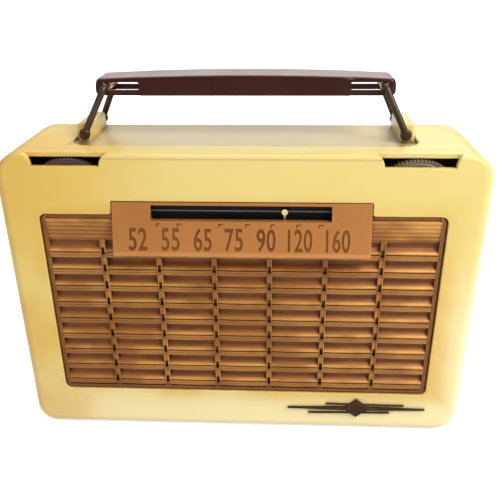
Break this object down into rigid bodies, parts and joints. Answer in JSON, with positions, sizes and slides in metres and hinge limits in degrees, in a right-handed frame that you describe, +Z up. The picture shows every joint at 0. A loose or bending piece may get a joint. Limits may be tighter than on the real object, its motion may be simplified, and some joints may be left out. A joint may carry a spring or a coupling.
{
  "type": "portable table radio",
  "caption": "Portable valve radio in a two-part moulded case with louvred grille, wedge dial, edge thumbwheels and a carry handle on wire bails that folds flat.",
  "frame": {"origin": "middle of the footprint on the surface that the feet stand on", "axes": "+X to the right along the dial as seen from the front, -Y out of the grille, +Z up"},
  "size_m": [0.2534, 0.1014, 0.1988],
  "materials": {
    "cream_plastic": "moulded, softly glossy, yellowed",
    "grille_plastic": "moulded copper-brown, satin",
    "dial_plastic": "copper back-painted, glossy",
    "scale_black": "matt black",
    "handle_plastic": "polished maroon",
    "volume_plastic": "knurled maroon",
    "tuning_plastic": "knurled grey-brown",
    "bail_steel": "bronzed steel wire",
    "badge_metal": "dark bronze",
    "brass": "plain",
    "steel": "plated",
    "zinc": "dull plated",
    "aluminium": "satin",
    "iron": "dull",
    "rubber": "matt black",
    "nylon": "plain",
    "thread": "braided cord",
    "valve_glass": "clear with a silvered top",
    "socket_plastic": "brown laminate",
    "card": "waxed card",
    "battery_card": "printed card, plain",
    "board": "hardboard",
    "speaker_fabric": "woven brown",
    "cone_paper": "pressed paper",
    "litz": "silk-covered wire on card"
  },
  "bodies": {
    "root": {"front_cabinet": "cream_plastic", "rear_cabinet": "cream_plastic", "door_pin": "steel", "foot_1": "rubber", "foot_2": "rubber", "foot_3": "rubber", "foot_4": "rubber", "badge": "badge_metal", "grille": "grille_plastic", "dial_plate": "dial_plastic", "dial_scale": "scale_black", "pointer_rail": "steel", "volume_control": "zinc", "capacitor_frame": "zinc", "stator_plates": "aluminium", "dial_cord": "thread", "cord_post_left": "brass", "cord_post_right": "brass", "chassis": "steel", "valve_1": "valve_glass", "valve_2": "valve_glass", "valve_3": "valve_glass", "valve_4": "valve_glass", "valve_socket_1": "socket_plastic", "valve_socket_2": "socket_plastic", "valve_socket_3": "socket_plastic", "valve_socket_4": "socket_plastic", "if_can_1": "aluminium", "if_can_2": "aluminium", "output_transformer": "iron", "filter_capacitor": "card", "speaker_baffle": "board", "speaker_cloth": "speaker_fabric", "speaker_basket": "steel", "speaker_cone": "cone_paper", "speaker_magnet": "iron", "b_battery": "battery_card", "a_cell_1": "zinc", "a_cell_2": "zinc", "battery_clip": "steel"},
    "volume": {"volume_wheel": "volume_plastic", "volume_shaft": "steel"},
    "tuning": {"tuning_wheel": "tuning_plastic", "tuning_shaft": "steel"},
    "rotor": {"cord_drum": "nylon", "rotor_plates": "aluminium"},
    "pointer": {"pointer": "brass"},
    "door": {"back_door": "cream_plastic", "loop_aerial": "litz"},
    "bail_left": {"bail_left": "bail_steel"},
    "sleeve_left": {"sleeve_left": "brass"},
    "handle": {"handle": "handle_plastic"},
    "bail_right": {"bail_right": "bail_steel"},
    "sleeve_right": {"sleeve_right": "brass"}
  },
  "joints": [
    {"name": "volume_turn", "type": "hinge", "parent": "root", "child": "volume", "pos_m": [-0.089, -0.04205, 0.1415], "axis": [0, 1, 0], "range_deg": [0, 300]},
    {"name": "tuning_turn", "type": "hinge", "parent": "root", "child": "tuning", "pos_m": [0.089, -0.04205, 0.1415], "axis": [0, 1, 0], "range_deg": [-292, 87]},
    {"name": "rotor_turn", "type": "hinge", "parent": "root", "child": "rotor", "pos_m": [0.046, -0.03275, 0.1338], "axis": [0, 1, 0], "range_deg": [-139, 42]},
    {"name": "pointer_slide", "type": "slide", "parent": "root", "child": "pointer", "axis": [1, 0, 0], "range_m": [-0.0645, 0.0195]},
    {"name": "door_hinge", "type": "hinge", "parent": "root", "child": "door", "pos_m": [0, 0.04835, 0.0212], "axis": [-1, 0, 0], "range_deg": [0, 90]},
    {"name": "bail_left_fold", "type": "hinge", "parent": "root", "child": "bail_left", "pos_m": [-0.0864, 0.00775, 0.1687], "axis": [0, 1, 0], "range_deg": [0, 60]},
    {"name": "sleeve_left_turn", "type": "hinge", "parent": "bail_left", "child": "sleeve_left", "pos_m": [-0.0751, 0.00775, 0.1925], "axis": [0, 1, 0], "range_deg": [-60.5, 0.5]},
    {"name": "handle_slide", "type": "slide", "parent": "sleeve_left", "child": "handle", "axis": [-1, 0, 0], "range_m": [0, 0.01506]},
    {"name": "bail_right_fold", "type": "hinge", "parent": "root", "child": "bail_right", "pos_m": [0.0864, 0.00775, 0.1687], "axis": [0, 1, 0], "range_deg": [-60.5, 0.5]},
    {"name": "sleeve_right_turn", "type": "hinge", "parent": "bail_right", "child": "sleeve_right", "pos_m": [0.0751, 0.00775, 0.1925], "axis": [0, 1, 0], "range_deg": [-0.5, 60.5]}
  ],
  "couplings": [
    {"joint": "rotor_turn", "follows": "tuning_turn", "ratio": 0.47368},
    {"joint": "pointer_slide", "follows": "tuning_turn", "m_per_rad": 0.0126},
    {"joint": "sleeve_left_turn", "follows": "bail_left_fold", "ratio": -1},
    {"joint": "handle_slide", "follows": "bail_left_fold", "m_per_rad": 0.014287},
    {"joint": "bail_right_fold", "follows": "bail_left_fold", "ratio": -1},
    {"joint": "sleeve_right_turn", "follows": "bail_left_fold", "ratio": 1}
  ]
}
